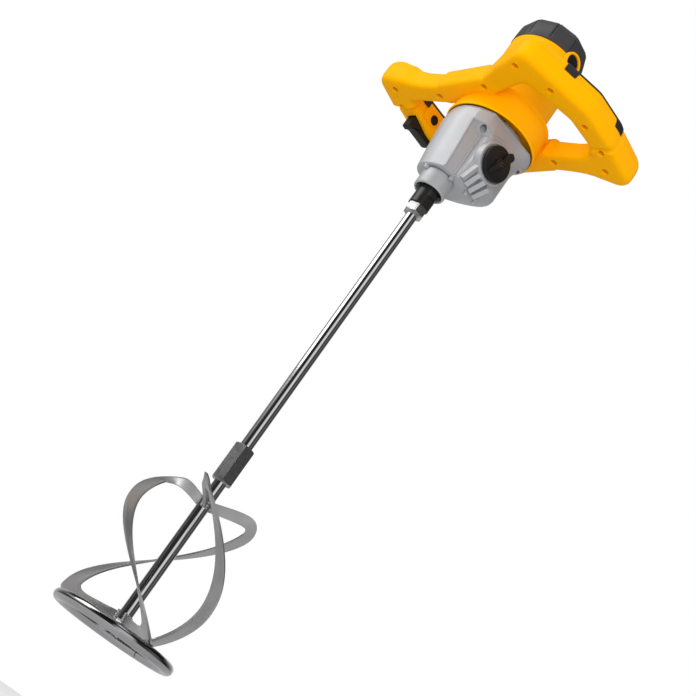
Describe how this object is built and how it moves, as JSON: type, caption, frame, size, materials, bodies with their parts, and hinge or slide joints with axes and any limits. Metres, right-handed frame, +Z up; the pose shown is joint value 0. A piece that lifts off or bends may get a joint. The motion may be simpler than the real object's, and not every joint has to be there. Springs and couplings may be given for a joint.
{
  "type": "mixing drill",
  "caption": "Hand-held mixing drill: upright motor in a loop handle frame, die-cast gear case with speed selector, and a screwed rod with a twisted ring paddle for stirring mortar.",
  "frame": {"origin": "centre of the clamp collar's mouth, on the spindle axis", "axes": "+Z up along the spindle towards the motor, +X across the grips towards the selector knob's side, +Y along the grips away from the spindle towards the motor"},
  "size_m": [0.305, 0.2185, 0.876],
  "materials": {
    "cast_aluminium": "satin die casting",
    "yellow_plastic": "smooth moulded plastic",
    "charcoal_plastic": "fine textured plastic",
    "black_plastic": "fine textured plastic",
    "grip_rubber": "soft moulded grip",
    "black_steel": "blackened steel",
    "zinc_steel": "bright zinc plate",
    "rod_steel": "drawn bar, zinc plate",
    "blade_steel": "cut flat bar, zinc plate",
    "ring_chrome": "polished bar",
    "gear_steel": "hobbed and hardened",
    "bearing_steel": "ground",
    "core_steel": "stacked sheet",
    "copper": "enamelled wire and bars",
    "brass": "pressed sheet",
    "carbon": "pressed carbon",
    "seal_rubber": "moulded lip seal",
    "screw_steel": "zinc plate"
  },
  "bodies": {
    "housing": {"gear_housing": "cast_aluminium", "gear_case_cover": "cast_aluminium", "gear_case_screws": "screw_steel", "spindle_lower_bearing": "bearing_steel", "spindle_upper_bearing": "bearing_steel", "lay_lower_bearing": "bearing_steel", "lay_upper_bearing": "bearing_steel", "armature_lower_bearing": "bearing_steel", "armature_upper_bearing": "bearing_steel", "spindle_seal": "seal_rubber", "shift_rail": "gear_steel", "motor_housing": "yellow_plastic", "air_baffle": "black_plastic", "stator_core": "core_steel", "field_windings": "copper", "bearing_bracket": "cast_aluminium", "brush_holders": "brass", "carbon_brushes": "carbon", "brush_springs": "screw_steel", "brush_caps": "charcoal_plastic", "rear_cover": "charcoal_plastic", "rear_cover_screws": "screw_steel", "frame_lower_shell": "yellow_plastic", "frame_upper_shell": "yellow_plastic", "frame_screws": "screw_steel", "grip_insert_left": "grip_rubber", "grip_insert_right": "grip_rubber", "trigger_pin": "screw_steel", "switch_body": "black_plastic", "cord_inlet": "charcoal_plastic"},
    "spindle": {"spindle": "black_steel", "jam_nut": "zinc_steel", "upper_rod": "rod_steel", "hex_coupling": "zinc_steel", "lower_rod": "rod_steel", "blade_1": "blade_steel", "blade_2": "blade_steel", "blade_3": "blade_steel", "bottom_ring": "ring_chrome", "low_gear": "gear_steel"},
    "lay_shaft": {"lay_shaft": "gear_steel", "input_gear": "gear_steel"},
    "armature": {"armature_shaft": "gear_steel", "armature_core": "core_steel", "commutator": "copper", "fan": "black_plastic"},
    "high_gear": {"high_gear": "gear_steel"},
    "dog_collar": {"dog_collar": "gear_steel"},
    "selector": {"selector_knob": "black_plastic", "knob_screw": "screw_steel", "selector_shaft": "gear_steel"},
    "shift_fork": {"shift_fork": "gear_steel"},
    "trigger": {"trigger": "black_plastic"},
    "lock_button": {"lock_button": "black_plastic"}
  },
  "joints": [
    {"name": "spindle_spin", "type": "hinge", "parent": "housing", "child": "spindle", "pos_m": [0, 0, 0], "axis": [0, 0, 1], "continuous": true},
    {"name": "lay_spin", "type": "hinge", "parent": "housing", "child": "lay_shaft", "pos_m": [-0.0208, 0.01984, 0.06], "axis": [0, 0, 1], "continuous": true},
    {"name": "high_gear_spin", "type": "hinge", "parent": "housing", "child": "high_gear", "pos_m": [0, 0, 0.063], "axis": [0, 0, 1], "continuous": true},
    {"name": "armature_spin", "type": "hinge", "parent": "housing", "child": "armature", "pos_m": [0, 0.027, 0.15], "axis": [0, 0, 1], "continuous": true},
    {"name": "selector_turn", "type": "hinge", "parent": "housing", "child": "selector", "pos_m": [0.0445, 0.018, 0.0639], "axis": [1, 0, 0], "range_deg": [0, 180]},
    {"name": "shift_fork_slide", "type": "slide", "parent": "housing", "child": "shift_fork", "axis": [0, 0, 1], "range_m": [0, 0.008]},
    {"name": "dog_collar_slide", "type": "slide", "parent": "spindle", "child": "dog_collar", "axis": [0, 0, 1], "range_m": [0, 0.008]},
    {"name": "trigger_press", "type": "hinge", "parent": "housing", "child": "trigger", "pos_m": [-0.13298, 0.0435, 0.1355], "axis": [-1, 0, 0], "range_deg": [0, 6], "stiffness_Nm_per_rad": 2, "springref_deg": -5.73},
    {"name": "lock_press", "type": "slide", "parent": "housing", "child": "lock_button", "axis": [-1, 0, 0], "range_m": [0, 0.003], "stiffness_N_per_m": 800, "springref_m": -0.003}
  ],
  "couplings": [
    {"joint": "lay_spin", "follows": "spindle_spin", "ratio": -4.1111},
    {"joint": "high_gear_spin", "follows": "spindle_spin", "ratio": 1.9892},
    {"joint": "armature_spin", "follows": "spindle_spin", "ratio": 15.988},
    {"joint": "shift_fork_slide", "follows": "selector_turn", "m_per_rad": 0.0025465},
    {"joint": "dog_collar_slide", "follows": "selector_turn", "m_per_rad": 0.0025465}
  ]
}
